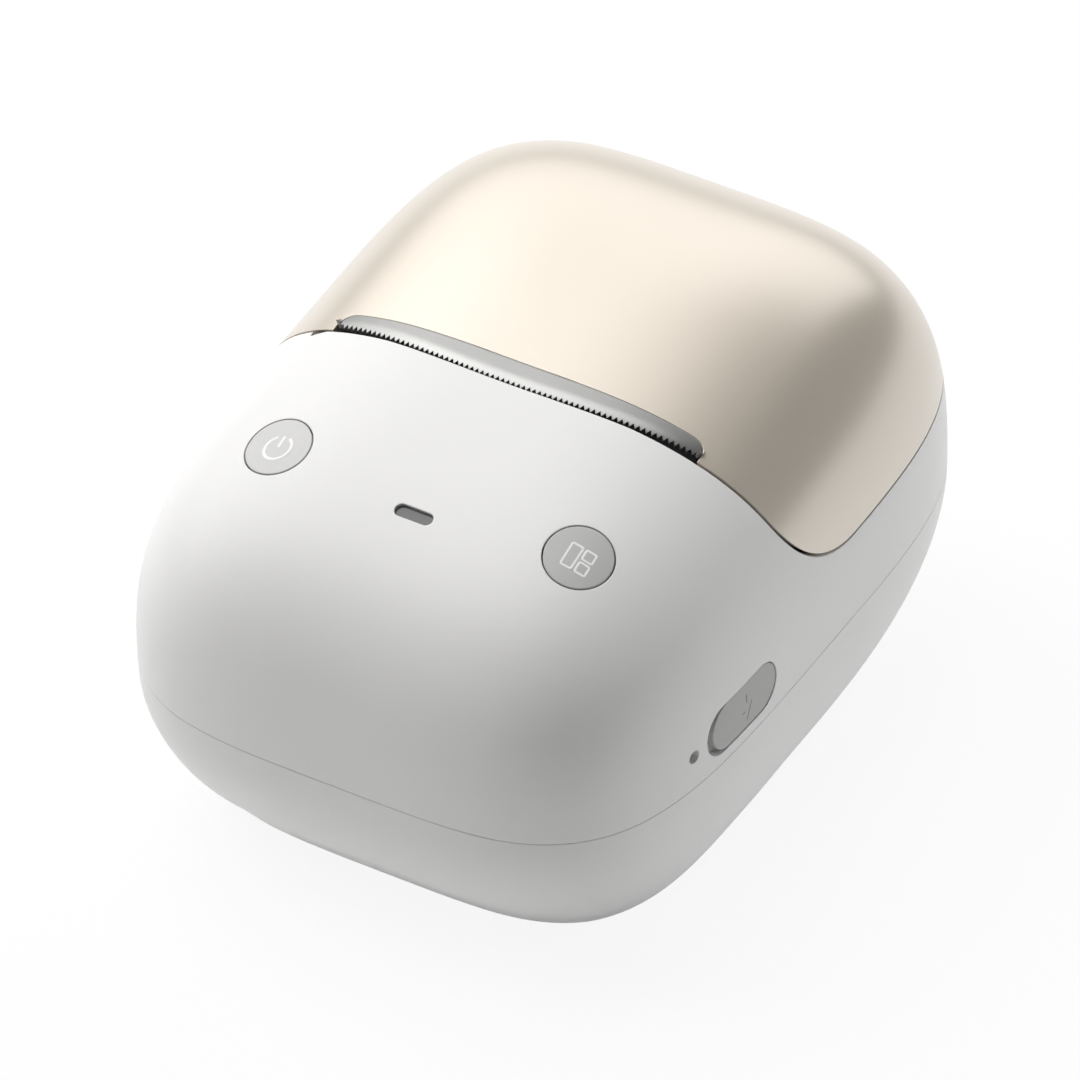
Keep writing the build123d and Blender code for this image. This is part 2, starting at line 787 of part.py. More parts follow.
def controller_chip():
    return block((14, 20), (-40, -34), (main_board_top, main_board_top + chip_height))


# Mechanism

def mechanism_frame():
    """Two side plates, the wall behind the print head and the label guide."""
    idler_y, idler_z = idler_centre()
    outer_x = frame_inner + frame_plate
    frame = Part()
    for low_x in (-outer_x, frame_inner):
        span = (low_x, low_x + frame_plate)
        plate = block(span, (frame_front, frame_rear), (floor_z, frame_top))
        plate += block(span, (frame_front, 0), (deck_high + part_gap, frame_top))
        plate -= block(span, (battery_rear - 4, battery_rear + 2), (floor_z + 3, frame_window_top))
        frame += plate
    for low_x in (-outer_x, outer_x - frame_foot):
        frame += block((low_x, low_x + frame_foot), (frame_foot_y, frame_foot_y + frame_foot),
                       (floor_z, floor_z + frame_plate))
    frame += block(both_sides(outer_x), (cross_wall_y - frame_plate, cross_wall_y),
                   (frame_top - cross_wall_height, frame_top))
    (low_y, low_z), (high_y, high_z) = label_guide_low, label_guide_high
    guide = make_face(Polyline((low_y, low_z), (low_y, low_z + label_guide_rise),
                               (high_y + 0.5, high_z + 1), (high_y, high_z), close=True))
    frame += Pos(-outer_x, 0, 0) * extrude(Plane.YZ * guide, 2 * outer_x)
    lift = Vector(0, platen_z - hinge_z, hinge_y - platen_y).normalized()
    seat = Plane(origin=(0, platen_y, platen_z), x_dir=(1, 0, 0), z_dir=lift)
    notch_radius = bush_radius + fit_gap
    mouth = Pos(0, bush_lead_in / 2, far / 2) * Box(far, 2 * notch_radius + bush_lead_in, far)
    frame -= rod_x(both_sides(far), platen_y, platen_z, notch_radius)
    frame -= seat * mouth
    frame -= rod_x((-far, 0), motor_y, motor_z, motor_boss_radius)
    frame -= rod_x((-far, 0), idler_y, idler_z, idler_axle_radius)
    frame -= rod_x(both_sides(far), head_pin_y, head_pin_height, head_pin_radius)
    return frame - Pos(0, label_sensor_at[0], label_sensor_at[1]) * Box(*label_sensor_window)


def stepper_motor():
    inner = -frame_inner
    can = rod_x((inner + motor_flange, inner + motor_length), motor_y, motor_z, motor_radius)
    can = chamfer(can.edges().sort_by(Axis.X)[-1], 0.5)
    flange = rod_x((inner, inner + motor_flange), motor_y, motor_z, motor_flange_radius)
    flange &= block((-far, 0), (motor_y - 4, motor_y + 4), (0, motor_z + 5.5))
    motor = can + flange + rod_x((inner - frame_plate, inner), motor_y, motor_z, motor_boss_radius)
    bore = (-far, inner + motor_shaft_reach + 0.5)
    return motor - rod_x(bore, motor_y, motor_z, motor_shaft_radius + fit_gap)


def motor_shaft():
    ends = (gear_near_x - gear_width - shaft_end, motor_shaft_reach - frame_inner)
    return rod_x(ends, motor_y, motor_z, motor_shaft_radius)


gear_near_x = -frame_inner - frame_plate - gear_gap


def gear_blank(teeth, centre, turned, bore):
    outline = gear_outline(teeth, gear_module, centre[0], centre[1], turned)
    gear = Pos(gear_near_x - gear_width, 0, 0) * extrude(outline, gear_width)
    return gear - rod_x((-far, 0), centre[0], centre[1], bore)


def gear_turns():
    """Rest angles of the platen gear, the idler and the pinion, all in mesh."""
    idler = idler_centre()
    to_idler = atan2(idler[1] - platen_z, idler[0] - platen_y)
    to_motor = atan2(motor_z - idler[1], motor_y - idler[0])
    idler_turn = mesh_turn(to_idler, platen_teeth, idler_teeth, to_idler)
    return to_idler, idler_turn, mesh_turn(idler_turn, idler_teeth, pinion_teeth, to_motor)


def idler_axle():
    y, z = idler_centre()
    inner = -frame_inner
    gear_far_x = gear_near_x - gear_width
    axle = rod_x((gear_far_x - shaft_end, inner), y, z, idler_axle_radius)
    return axle + rod_x((gear_far_x - 1.0, gear_far_x - 0.2), y, z, 2 * idler_axle_radius)


def platen_shaft():
    ends = (gear_near_x - gear_width - shaft_end, frame_inner + frame_plate + shaft_end)
    return rod_x(ends, platen_y, platen_z, platen_shaft_radius)


def platen_roller():
    roller = rod_x(both_sides(platen_half), platen_y, platen_z, platen_radius)
    return roller - rod_x(both_sides(far), platen_y, platen_z, platen_shaft_radius)


def platen_bush(side):
    near, far_end = platen_half + 0.2, frame_inner + frame_plate
    bush = rod_x((side * near, side * far_end), platen_y, platen_z, bush_radius)
    flange = rod_x((side * near, side * (near + bush_flange)), platen_y, platen_z, bush_flange_radius)
    return bush + flange - rod_x(both_sides(far), platen_y, platen_z, platen_shaft_radius + fit_gap)


def print_head_heatsink():
    rear = head_front_y - heatsink_thickness
    sink = block(both_sides(head_half), (rear, head_front_y), (heatsink_low, heatsink_high))
    slots = int(2 * head_half / fin_pitch)
    for index in range(slots - 1):
        x = (index - (slots - 2) / 2) * fin_pitch
        sink -= block((x - fin_slot_half, x + fin_slot_half), (rear - 1, head_front_y - fin_web),
                      (head_pin_height + 7, far))
    return sink - rod_x(both_sides(far), head_pin_y, head_pin_height, head_pin_radius + fit_gap)


def print_head_ceramic():
    span = (head_front_y, head_front_y + ceramic_thickness)
    return block(both_sides(head_half), span, (ceramic_low, ceramic_high))


def head_springs():
    """Two open coils between the frame's cross wall and the print head."""
    length = head_spring_room - head_spring_gap - head_spring_wire
    springs = []
    for x in both_sides(head_spring_x):
        place = Plane(origin=(x, cross_wall_y + head_spring_wire / 2, head_spring_height), z_dir=(0, 1, 0))
        coil = Helix(length / head_spring_turns, length, head_spring_radius)
        section = Plane(origin=coil @ 0, z_dir=coil % 0) * Circle(head_spring_wire / 2)
        springs.append(place * sweep(section, coil))
    return springs


def label_sensor():
    slope = atan2(label_guide_high[1] - label_guide_low[1], label_guide_low[0] - label_guide_high[0])
    place = Pos(0, label_sensor_at[0], label_sensor_at[1]) * Rot(-degrees(slope), 0, 0)
    return place * Pos(0, 0, -1.0) * Box(4.6, 2.6, 1.6)


# Roll bay and guides

def roll_bay():
    outer_r, inner_r = bay_radius + bay_wall, bay_radius
    ends = (-bay_half - bay_wall, bay_half + bay_wall)
    tub = rod_x(ends, roll_y, roll_z, outer_r) & block(ends, (-far, far), (-far, roll_z))
    tub += block(ends, (roll_y - outer_r, roll_y + outer_r), (roll_z, deck_high))
    deck = block(both_sides(far), (roll_y - outer_r, deck_rear), (deck_low, deck_high))
    deck &= skin_at(wall + part_gap)
    for px, py in (bay_leg, bay_leg_rear):
        for x in both_sides(px):
            tub += rod_z(x, py, (floor_z, roll_z), bay_leg_radius)
    tub += deck
    tub -= rod_x(both_sides(bay_half), roll_y, roll_z, inner_r)
    tub -= block(both_sides(bay_half), (roll_y - inner_r, roll_y + inner_r), (roll_z, far))
    stem = guide_stem_half + 0.4
    for side, y in ((-1, rack_front_y), (1, rack_rear_y)):
        low, high = sorted((side * (bay_half - 0.3), side * (guide_rest - guide_travel - 0.4)))
        tub -= block((low, high), (y - stem, y + stem), (0, roll_z))
    return tub


def rack_outline(length, phase):
    """A rack's toothed edge along +X, its pitch line at y = 0 and a gap over x = 0."""
    pitch = pi * rack_module
    lean = tan(radians(gear_pressure)) * rack_module
    half = pitch / 4 - gear_backlash / 2
    points = []
    first, last = length
    index = int(first / pitch) - 1
    while (index + phase) * pitch + half + lean < last:
        middle = (index + phase) * pitch
        if middle - half - lean > first:
            points += [(middle - half - lean, -rack_module), (middle - half + lean, rack_module * 0.9),
                       (middle + half - lean, rack_module * 0.9), (middle + half + lean, -rack_module)]
        index += 1
    return points


def roll_guide(side):
    """A cheek with the hub that holds the roll, and the stem that stands on its rack."""
    outer_x = side * (guide_rest + guide_plate)
    cheek = rod_x((side * guide_rest, outer_x), roll_y, roll_z, guide_radius)
    hub = rod_x((side * (guide_rest - guide_hub_height), side * guide_rest), roll_y, roll_z, guide_hub_radius)
    hub = chamfer(hub.edges().sort_by(Axis.X)[0 if side > 0 else -1], 1.0)
    y = rack_rear_y if side > 0 else rack_front_y
    low, high = sorted((side * guide_rest, outer_x))
    stem = block((low, high), (y - guide_stem_half, y + guide_stem_half), (rack_bottom + rack_height, roll_z))
    return cheek + hub + stem


def guide_rack(side):
    """The toothed bar under the bay that carries a guide."""
    y = rack_rear_y if side > 0 else rack_front_y
    reach = (-guide_rest - guide_plate, rack_overlap)
    teeth = [(reach[0], -rack_module)] + rack_outline(reach, 0.5) + [(reach[1], -rack_module)]
    outline = teeth + [(reach[1], -rack_depth), (reach[0], -rack_depth)]
    rack = make_face(Polyline([(-side * px, -side * py) for px, py in outline], close=True))
    return Pos(0, y, rack_bottom) * extrude(rack, rack_height)


def guide_pinion():
    outline = gear_outline(rack_teeth, rack_module, 0, roll_y, pi / 2, Plane.XY)
    gear = Pos(0, 0, rack_bottom) * extrude(outline, rack_height)
    return gear - rod_z(0, roll_y, (0, far), guide_pin_radius + fit_gap)


def guide_pin():
    head = (rack_bottom + rack_height + 0.2, rack_bottom + rack_height + 0.2 + guide_pin_head)
    pin = rod_z(0, roll_y, (guide_pin_low, head[1]), guide_pin_radius)
    return pin + rod_z(0, roll_y, head, guide_pin_radius + guide_pin_margin)


# Fasteners and feet

def case_screws():
    screws = []
    seat = post_split - screw_seat
    length, width, depth = screw_slot
    for x, y in case_screws_at:
        place = Pos(x, y, seat - screw_head_height)
        screw = rod_z(x, y, (seat - screw_head_height, seat), screw_head_radius)
        screw += rod_z(x, y, (seat, seat + screw_length), screw_radius)
        screw -= place * Box(width, length, depth)
        screws.append(screw - place * Box(length, width, depth))
    return screws


def foot(x, y):
    pad = rod_z(x, y, (0, foot_height + foot_pocket), foot_radius)
    return chamfer(pad.edges().sort_by(Axis.Z)[0], 0.4)


# Places that several pieces share

head_front_y = nip_y - head_gap - ceramic_thickness
head_pin_y = head_front_y - heatsink_thickness / 2
cross_wall_y = head_front_y - heatsink_thickness - head_spring_room
beam_low = platen_z + platen_radius + beam_clearance
main_board_low = main_board_top - board_thickness
plug_mouth_y = main_board_rear - 0.5
guide_pin_low = floor_z - wall / 4
button_board_plane = Plane(origin=top_point(0, button_y) - top_plane(0, button_y).z_dir * button_board_depth,
                           x_dir=(1, 0, 0), z_dir=top_plane(0, button_y).z_dir)
button_board_posts = (-12.0, 12.0)
main_board_screws_at = ((-6.5, -43.0), (17.0, -45.0), (33.0, -39.5))
label_sensor_at = (-6.0, 41.6)
label_sensor_window = (5.0, 3.0, 6.0)
case_screws_at = [(x, y) for post_x, y in (front_post, rear_post) for x in both_sides(post_x)]
feet_at = {row + side: (x, y) for row, y in (("front", -foot_y), ("rear", foot_y))
           for side, x in (("_left", -foot_x), ("_right", foot_x))}
rack_depth = rack_width + rack_module
rack_front_y = roll_y - rack_module * rack_teeth / 2
rack_rear_y = roll_y + rack_module * rack_teeth / 2

skins = {}


def skin_at(inset):
    """The outer form drawn in by inset, made once for each inset."""
    if inset not in skins:
        skins[inset] = form(inset, inset if inset > 0 else 0)
    return skins[inset]


def make_parts():
    bottom = form()
    outer = fillet(bottom.edges().sort_by(Axis.Z)[0], bottom_round)
    hollow = outer - form(wall, floor_wall)
    platen_turn, idler_turn, pinion_turn = gear_turns()
    idler = idler_centre()
    parts = {
        "base_shell": base_shell(hollow, skin_at(0.4)),
        "top_shell": top_shell(hollow, outer, skin_at(0.4)),
        "lid_cover": lid_cover(hollow, outer),
        "lid_frame": lid_frame(),
        "lid_screws": lid_screws(),
        "tear_bar": tear_bar(outer),
        "hinge_pin": rod_x(both_sides(shell_knuckle_end), hinge_y, hinge_z, hinge_pin_radius),
        "power_button": button(skin_at(-button_proud), skin_at(wall + 0.15), -button_x),
        "function_button": button(skin_at(-button_proud), skin_at(wall + 0.15), button_x),
        "button_switches": button_switches(),
        "button_board": button_board(),
        "button_board_screws": button_board_screws(),
        "status_led": status_led(),
        "light_guide": light_guide(),
        "usb_cover": usb_cover(),
        "usb_socket": usb_socket(),
        "reset_switch": reset_switch(),
        "main_board": main_board(),
        "main_board_screws": main_board_screws(),
        "radio_module": radio_module(),
        "controller_chip": controller_chip(),
        "battery_pack": battery_pack(),
        "battery_connector": battery_connector(),
        "battery_lead": battery_lead(),
        "head_connector": head_connector(),
        "head_ribbon": head_ribbon(),
        "mechanism_frame": mechanism_frame(),
        "stepper_motor": stepper_motor(),
        "motor_shaft": motor_shaft(),
        "motor_pinion": gear_blank(pinion_teeth, (motor_y, motor_z), pinion_turn, motor_shaft_radius),
        "idler_axle": idler_axle(),
        "idler_gear": gear_blank(idler_teeth, idler, idler_turn, idler_axle_radius + fit_gap),
        "platen_gear": gear_blank(platen_teeth, (platen_y, platen_z), platen_turn, platen_shaft_radius),
        "platen_shaft": platen_shaft(),
        "platen_roller": platen_roller(),
        "platen_bush_left": platen_bush(-1),
        "platen_bush_right": platen_bush(1),
        "print_head_heatsink": print_head_heatsink(),
        "print_head_ceramic": print_head_ceramic(),
        "head_pivot_pin": rod_x(both_sides(frame_inner + frame_plate), head_pin_y, head_pin_height,
                                head_pin_radius),
        "head_springs": head_springs(),
        "label_sensor": label_sensor(),
        "roll_bay": roll_bay(),
        "roll_guide_left": roll_guide(-1),
        "roll_guide_right": roll_guide(1),
        "guide_rack_left": guide_rack(-1),
        "guide_rack_right": guide_rack(1),
        "guide_pinion": guide_pinion(),
        "guide_pin": guide_pin(),
        "case_screws": case_screws(),
    }
    for name, (x, y) in feet_at.items():
        parts["foot_" + name] = foot(x, y)
    return parts


os.makedirs("parts", exist_ok=True)
for name, piece in make_parts().items():
    solids = [solid for item in (piece if isinstance(piece, list) else [piece]) for solid in item.solids()]
    export_step(solids[0] if len(solids) == 1 else Compound(children=solids), "parts/" + name + ".step")
    print(name, len(solids), round(sum(solid.volume for solid in solids), 1))
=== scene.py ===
import bpy
import json
import math
from mathutils import Matrix, Vector


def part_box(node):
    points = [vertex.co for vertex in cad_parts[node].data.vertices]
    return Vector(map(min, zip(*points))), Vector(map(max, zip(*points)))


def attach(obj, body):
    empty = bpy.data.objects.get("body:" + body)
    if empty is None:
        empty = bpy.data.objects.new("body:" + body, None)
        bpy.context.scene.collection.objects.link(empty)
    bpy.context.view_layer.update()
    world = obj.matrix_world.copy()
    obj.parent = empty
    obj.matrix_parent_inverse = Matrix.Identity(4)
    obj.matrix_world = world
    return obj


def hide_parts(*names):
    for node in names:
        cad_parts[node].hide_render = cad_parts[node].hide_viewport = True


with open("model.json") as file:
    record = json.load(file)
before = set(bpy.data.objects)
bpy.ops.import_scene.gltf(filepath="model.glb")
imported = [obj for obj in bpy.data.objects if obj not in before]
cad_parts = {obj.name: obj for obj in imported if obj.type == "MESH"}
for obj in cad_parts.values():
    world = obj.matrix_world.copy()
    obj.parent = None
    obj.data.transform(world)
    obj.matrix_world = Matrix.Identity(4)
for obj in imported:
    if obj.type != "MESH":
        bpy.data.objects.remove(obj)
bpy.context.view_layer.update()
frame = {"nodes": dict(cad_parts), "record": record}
nodes = frame["nodes"]
mm = 0.001
print("frame loaded:", len(nodes), "nodes")


# Camera, floor and light

cameraSet = {
    "turn": 29.95,            # degrees round from the front, towards the port side
    "height": 39.8,           # degrees over the floor
    "distance": 1.622,
    "lens": 394.3,
    "sensor": 36,
    "farClip": 20,
    "aimHeight": 26.25 * mm,
    "slideRight": -0.853 * mm,
    "slideUp": 2.124 * mm,
}


def addCamera():
    turn, height = math.radians(cameraSet["turn"]), math.radians(cameraSet["height"])
    back = Vector((math.sin(turn) * math.cos(height), -math.cos(turn) * math.cos(height), math.sin(height)))
    right = Vector((math.cos(turn), math.sin(turn), 0))
    up = back.cross(right)
    data = bpy.data.cameras.new("camera")
    data.lens = cameraSet["lens"]
    data.sensor_width = cameraSet["sensor"]
    data.clip_end = cameraSet["farClip"]
    camera = bpy.data.objects.new("camera", data)
    bpy.context.scene.collection.objects.link(camera)
    place = Vector((0, 0, cameraSet["aimHeight"])) + back * cameraSet["distance"]
    place += right * cameraSet["slideRight"] + up * cameraSet["slideUp"]
    camera.matrix_world = Matrix((right, up, back)).transposed().to_4x4()
    camera.location = place
    bpy.context.scene.camera = camera


lampSet = {
    # name: place in metres, width, height, watts, colour, seen in reflections
    "leftSoftbox": ((-0.85, -0.05, 0.75), 1.0, 1.0, 7.6, (1.0, 0.995, 0.985), True),
    "overhead": ((-0.35, 0.05, 1.15), 0.9, 0.9, 7.4, (1.0, 0.995, 0.99), True),
    "backSoftbox": ((-0.35, 0.95, 0.65), 1.7, 0.9, 7.0, (1.0, 0.99, 0.98), True),
    "rightFill": ((0.75, 0.65, 0.3), 0.4, 0.5, 2.6, (0.99, 0.995, 1.0), False),
}
lampAim = Vector((0, 0, 0.03))


def addLamps():
    for name, (place, width, height, watts, color, shines) in lampSet.items():
        data = bpy.data.lights.new(name, "AREA")
        data.shape = "RECTANGLE"
        data.size = width
        data.size_y = height
        data.energy = watts
        data.color = color
        lamp = bpy.data.objects.new(name, data)
        bpy.context.scene.collection.objects.link(lamp)
        lamp.location = place
        lamp.rotation_euler = (lampAim - Vector(place)).to_track_quat("-Z", "Y").to_euler()
        lamp.visible_glossy = shines


worldSet = {"color": (1.0, 1.0, 1.0), "strength": 0.1}


def addWorld():
    world = bpy.data.worlds.new("studio")
    bpy.context.scene.world = world
    world.use_nodes = True
    tree = world.node_tree
    tree.nodes.clear()
    light = tree.nodes.new("ShaderNodeBackground")
    light.inputs["Color"].default_value = (*worldSet["color"], 1)
    light.inputs["Strength"].default_value = worldSet["strength"]
    seen = tree.nodes.new("ShaderNodeBackground")
    seen.inputs["Color"].default_value = (1, 1, 1, 1)
    seen.inputs["Strength"].default_value = 1.0
    path = tree.nodes.new("ShaderNodeLightPath")
    mix = tree.nodes.new("ShaderNodeMixShader")
    out = tree.nodes.new("ShaderNodeOutputWorld")
    tree.links.new(path.outputs["Is Camera Ray"], mix.inputs["Fac"])
    tree.links.new(light.outputs["Background"], mix.inputs[1])
    tree.links.new(seen.outputs["Background"], mix.inputs[2])
    tree.links.new(mix.outputs["Shader"], out.inputs["Surface"])


floorSet = {"half": 3.0, "color": (0.93, 0.93, 0.93), "glow": 0.9}


def addFloor():
    deselectAll()
    bpy.ops.mesh.primitive_plane_add(size=2 * floorSet["half"])
    floor = bpy.context.object
    floor.name = "floor"
    material = bpy.data.materials.new("floorPaper")
    material.use_nodes = True
    tree = material.node_tree
    tree.nodes.clear()
    paper = tree.nodes.new("ShaderNodeBsdfDiffuse")
    paper.inputs["Color"].default_value = (*floorSet["color"], 1)
    glow = tree.nodes.new("ShaderNodeEmission")
    glow.inputs["Strength"].default_value = 1.0
    path = tree.nodes.new("ShaderNodeLightPath")
    rays = tree.nodes.new("ShaderNodeMath")
    rays.operation = "MAXIMUM"
    share = tree.nodes.new("ShaderNodeMath")
    share.operation = "MULTIPLY"
    share.inputs[1].default_value = floorSet["glow"]
    mix = tree.nodes.new("ShaderNodeMixShader")
    out = tree.nodes.new("ShaderNodeOutputMaterial")
    tree.links.new(path.outputs["Is Camera Ray"], rays.inputs[0])
    tree.links.new(path.outputs["Is Glossy Ray"], rays.inputs[1])
    tree.links.new(rays.outputs[0], share.inputs[0])
    tree.links.new(share.outputs[0], mix.inputs["Fac"])
    tree.links.new(paper.outputs[0], mix.inputs[1])
    tree.links.new(glow.outputs[0], mix.inputs[2])
    tree.links.new(mix.outputs[0], out.inputs["Surface"])
    floor.data.materials.append(material)


# Working helpers

def deselectAll():
    if bpy.context.object and bpy.context.object.mode != "OBJECT":
        bpy.ops.object.mode_set(mode="OBJECT")
    bpy.ops.object.select_all(action="DESELECT")


def makeActive(piece):
    deselectAll()
    piece.select_set(True)
    bpy.context.view_layer.objects.active = piece


def applyAll(piece):
    makeActive(piece)
    for modifier in list(piece.modifiers):
        bpy.ops.object.modifier_apply(modifier=modifier.name)


def settle(piece):
    # Puts the piece's place into its mesh, so that its object sits at the origin.
    makeActive(piece)
    bpy.ops.object.transform_apply(location=True, rotation=True, scale=True)


def addBevel(piece, width, segments, overAngle=30):
    bevel = piece.modifiers.new("edge", "BEVEL")
    bevel.width = width * mm
    bevel.segments = segments
    bevel.limit_method = "ANGLE"
    bevel.angle_limit = math.radians(overAngle)


def thicken(piece, move):
    # Pulls a flat sheet out into a closed body.
    makeActive(piece)
    bpy.ops.object.mode_set(mode="EDIT")
    bpy.ops.mesh.select_all(action="SELECT")
    bpy.ops.mesh.extrude_region_move(TRANSFORM_OT_translate={"value": move})
    bpy.ops.mesh.select_all(action="SELECT")
    bpy.ops.mesh.normals_make_consistent(inside=False)
    bpy.ops.object.mode_set(mode="OBJECT")


def finishPiece(piece, name, body, slotName, smoothAngle=30, material=None):
    piece.name = name
    settle(piece)
    bpy.ops.object.shade_smooth_by_angle(angle=math.radians(smoothAngle))
    piece.data.materials.clear()
    piece.data.materials.append(finishOf[material or slotName])
    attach(piece, body)


# Shader groups that several finishes share

surfaceSet = {
    "cloudScale": 22,
    "brushStretch": (60, 9000, 9000),
    "roughRange": 0.03,
    "bumpStrength": 0.6,
    "bevelSamples": 4,
    "coatRough": 0.3,
}


def newGroup(name, inputs, outputs):
    group = bpy.data.node_groups.new(name, "ShaderNodeTree")
    for socketName, kind, value in inputs:
        socket = group.interface.new_socket(name=socketName, in_out="INPUT", socket_type=kind)
        socket.default_value = value
    for socketName, kind in outputs:
        group.interface.new_socket(name=socketName, in_out="OUTPUT", socket_type=kind)
    return group, group.nodes.new("NodeGroupInput"), group.nodes.new("NodeGroupOutput")


def mouldedGrainGroup():
    # Fine spark-eroded texture of a moulded surface, with a slow change of tone.
    group, entry, result = newGroup("mouldedGrain", [
        ("Grain", "NodeSocketFloat", 4000.0),
        ("Tone", "NodeSocketFloat", 0.02),
    ], [("Height", "NodeSocketFloat"), ("Shade", "NodeSocketFloat")])
    nodeList, link = group.nodes, group.links.new
    coords = nodeList.new("ShaderNodeTexCoord")
    fine = nodeList.new("ShaderNodeTexNoise")
    fine.inputs["Detail"].default_value = 3
    slow = nodeList.new("ShaderNodeTexNoise")
    slow.inputs["Scale"].default_value = surfaceSet["cloudScale"]
    slow.inputs["Detail"].default_value = 2
    spread = nodeList.new("ShaderNodeMapRange")
    spread.inputs["From Min"].default_value = 0.3
    spread.inputs["From Max"].default_value = 0.7
    low = nodeList.new("ShaderNodeMath")
    low.operation = "SUBTRACT"
    low.inputs[0].default_value = 1.0
    link(coords.outputs["Object"], fine.inputs["Vector"])
    link(coords.outputs["Object"], slow.inputs["Vector"])
    link(entry.outputs["Grain"], fine.inputs["Scale"])
    link(slow.outputs["Fac"], spread.inputs["Value"])
    link(entry.outputs["Tone"], low.inputs[1])
    link(low.outputs[0], spread.inputs["To Min"])
    spread.inputs["To Max"].default_value = 1.0
    link(fine.outputs["Fac"], result.inputs["Height"])
    link(spread.outputs["Result"], result.inputs["Shade"])
    return group


def brushedGroup():
    # Straight brush marks, long along X.
    group, entry, result = newGroup("brushed", [
        ("Fineness", "NodeSocketFloat", 1.0),
        ("Tone", "NodeSocketFloat", 0.1),
    ], [("Height", "NodeSocketFloat"), ("Shade", "NodeSocketFloat")])
    nodeList, link = group.nodes, group.links.new
    coords = nodeList.new("ShaderNodeTexCoord")
    stretch = nodeList.new("ShaderNodeVectorMath")
    stretch.operation = "MULTIPLY"
    stretch.inputs[1].default_value = surfaceSet["brushStretch"]
    lines = nodeList.new("ShaderNodeTexNoise")
    lines.inputs["Detail"].default_value = 3
    spread = nodeList.new("ShaderNodeMapRange")
    low = nodeList.new("ShaderNodeMath")
    low.operation = "SUBTRACT"
    low.inputs[0].default_value = 1.0
    link(coords.outputs["Object"], stretch.inputs[0])
    link(stretch.outputs["Vector"], lines.inputs["Vector"])
    link(entry.outputs["Fineness"], lines.inputs["Scale"])
    link(lines.outputs["Fac"], spread.inputs["Value"])
    link(entry.outputs["Tone"], low.inputs[1])
    link(low.outputs[0], spread.inputs["To Min"])
    spread.inputs["To Max"].default_value = 1.0
    link(lines.outputs["Fac"], result.inputs["Height"])
    link(spread.outputs["Result"], result.inputs["Shade"])
    return group


groups = {}


# Finishes: one for each material slot of the record, and two for the marks.
# The grain is counted per metre; bump and rounded edge are in millimetres.

finishSet = {
    "shell_white": dict(color=(0.80, 0.80, 0.795), rough=0.42, grain=5200, bump=0.006, tone=0.012, edge=0.25),
    "lid_pearl": dict(color=(0.70, 0.625, 0.525), rough=0.38, metal=0.4, grain=9000, bump=0.004, tone=0.03,
                      edge=0.25, coat=0.9, coatIor=2.2),
    "blade_steel": dict(color=(0.34, 0.34, 0.335), rough=0.42, metal=1.0, group="brushed", grain=1, bump=0.01,
                        tone=0.12),
    "steel": dict(color=(0.58, 0.58, 0.58), rough=0.28, metal=1.0, group="brushed", grain=1, bump=0.006,
                  tone=0.1),
    "frame_plastic": dict(color=(0.03, 0.03, 0.032), rough=0.48, grain=3800, bump=0.012, tone=0.1, edge=0.15),
    "inner_plastic": dict(color=(0.075, 0.075, 0.078), rough=0.5, grain=3600, bump=0.012, tone=0.1,
                          edge=0.15),
    "bay_plastic": dict(color=(0.40, 0.40, 0.39), rough=0.5, grain=3600, bump=0.012, tone=0.05, edge=0.15),
    "gear_nylon": dict(color=(0.72, 0.7, 0.64), rough=0.38, grain=2600, bump=0.006, tone=0.04, under=0.15),
    "brass": dict(color=(0.62, 0.45, 0.19), rough=0.25, metal=1.0, group="brushed", grain=1, bump=0.006,
                  tone=0.12),
    "button_pale": dict(color=(0.60, 0.60, 0.595), rough=0.4, grain=5200, bump=0.005, tone=0.015, edge=0.3),
    "button_grey": dict(color=(0.50, 0.50, 0.495), rough=0.4, grain=5200, bump=0.005, tone=0.02, edge=0.3),
    "cover_rubber": dict(color=(0.47, 0.47, 0.465), rough=0.55, grain=4200, bump=0.01, tone=0.04, edge=0.3),
    "platen_rubber": dict(color=(0.02, 0.02, 0.021), rough=0.62, grain=6500, bump=0.02, tone=0.15),
    "foot_rubber": dict(color=(0.055, 0.055, 0.056), rough=0.7, grain=2600, bump=0.02, tone=0.15, edge=0.2),
    "light_window": dict(color=(0.10, 0.10, 0.102), rough=0.18, grain=1500, bump=0.002, tone=0.05, edge=0.2),
    "circuit_board": dict(color=(0.012, 0.10, 0.045), rough=0.3, grain=700, bump=0.01, tone=0.25),
    "chip_black": dict(color=(0.018, 0.018, 0.019), rough=0.45, grain=5000, bump=0.01, tone=0.1),
    "tinned_can": dict(color=(0.62, 0.62, 0.61), rough=0.3, metal=1.0, grain=900, bump=0.006, tone=0.12),
    "motor_steel": dict(color=(0.45, 0.45, 0.44), rough=0.35, metal=1.0, grain=1400, bump=0.008, tone=0.15),
    "heatsink_aluminium": dict(color=(0.66, 0.66, 0.67), rough=0.38, metal=1.0, group="brushed", grain=1,
                               bump=0.01, tone=0.1),
    "ceramic": dict(color=(0.62, 0.58, 0.5), rough=0.2, grain=2200, bump=0.003, tone=0.05),
    "battery_wrap": dict(color=(0.02, 0.07, 0.26), rough=0.28, grain=420, bump=0.03, tone=0.2),
    "ribbon_film": dict(color=(0.78, 0.77, 0.72), rough=0.3, grain=900, bump=0.004, tone=0.05),
    "lead_red": dict(color=(0.35, 0.02, 0.015), rough=0.35, grain=1500, bump=0.006, tone=0.1),
    "connector_white": dict(color=(0.74, 0.71, 0.63), rough=0.4, grain=2500, bump=0.006, tone=0.05),
    "mark_white": dict(color=(0.88, 0.88, 0.875), rough=0.5, grain=3000, bump=0.002, tone=0.02),
    "mark_dark": dict(color=(0.09, 0.09, 0.09), rough=0.6, grain=3000, bump=0.002, tone=0.02),
    "light_lens": dict(color=(0.75, 0.68, 0.4), rough=0.15, grain=1500, bump=0.002, tone=0.05),
}


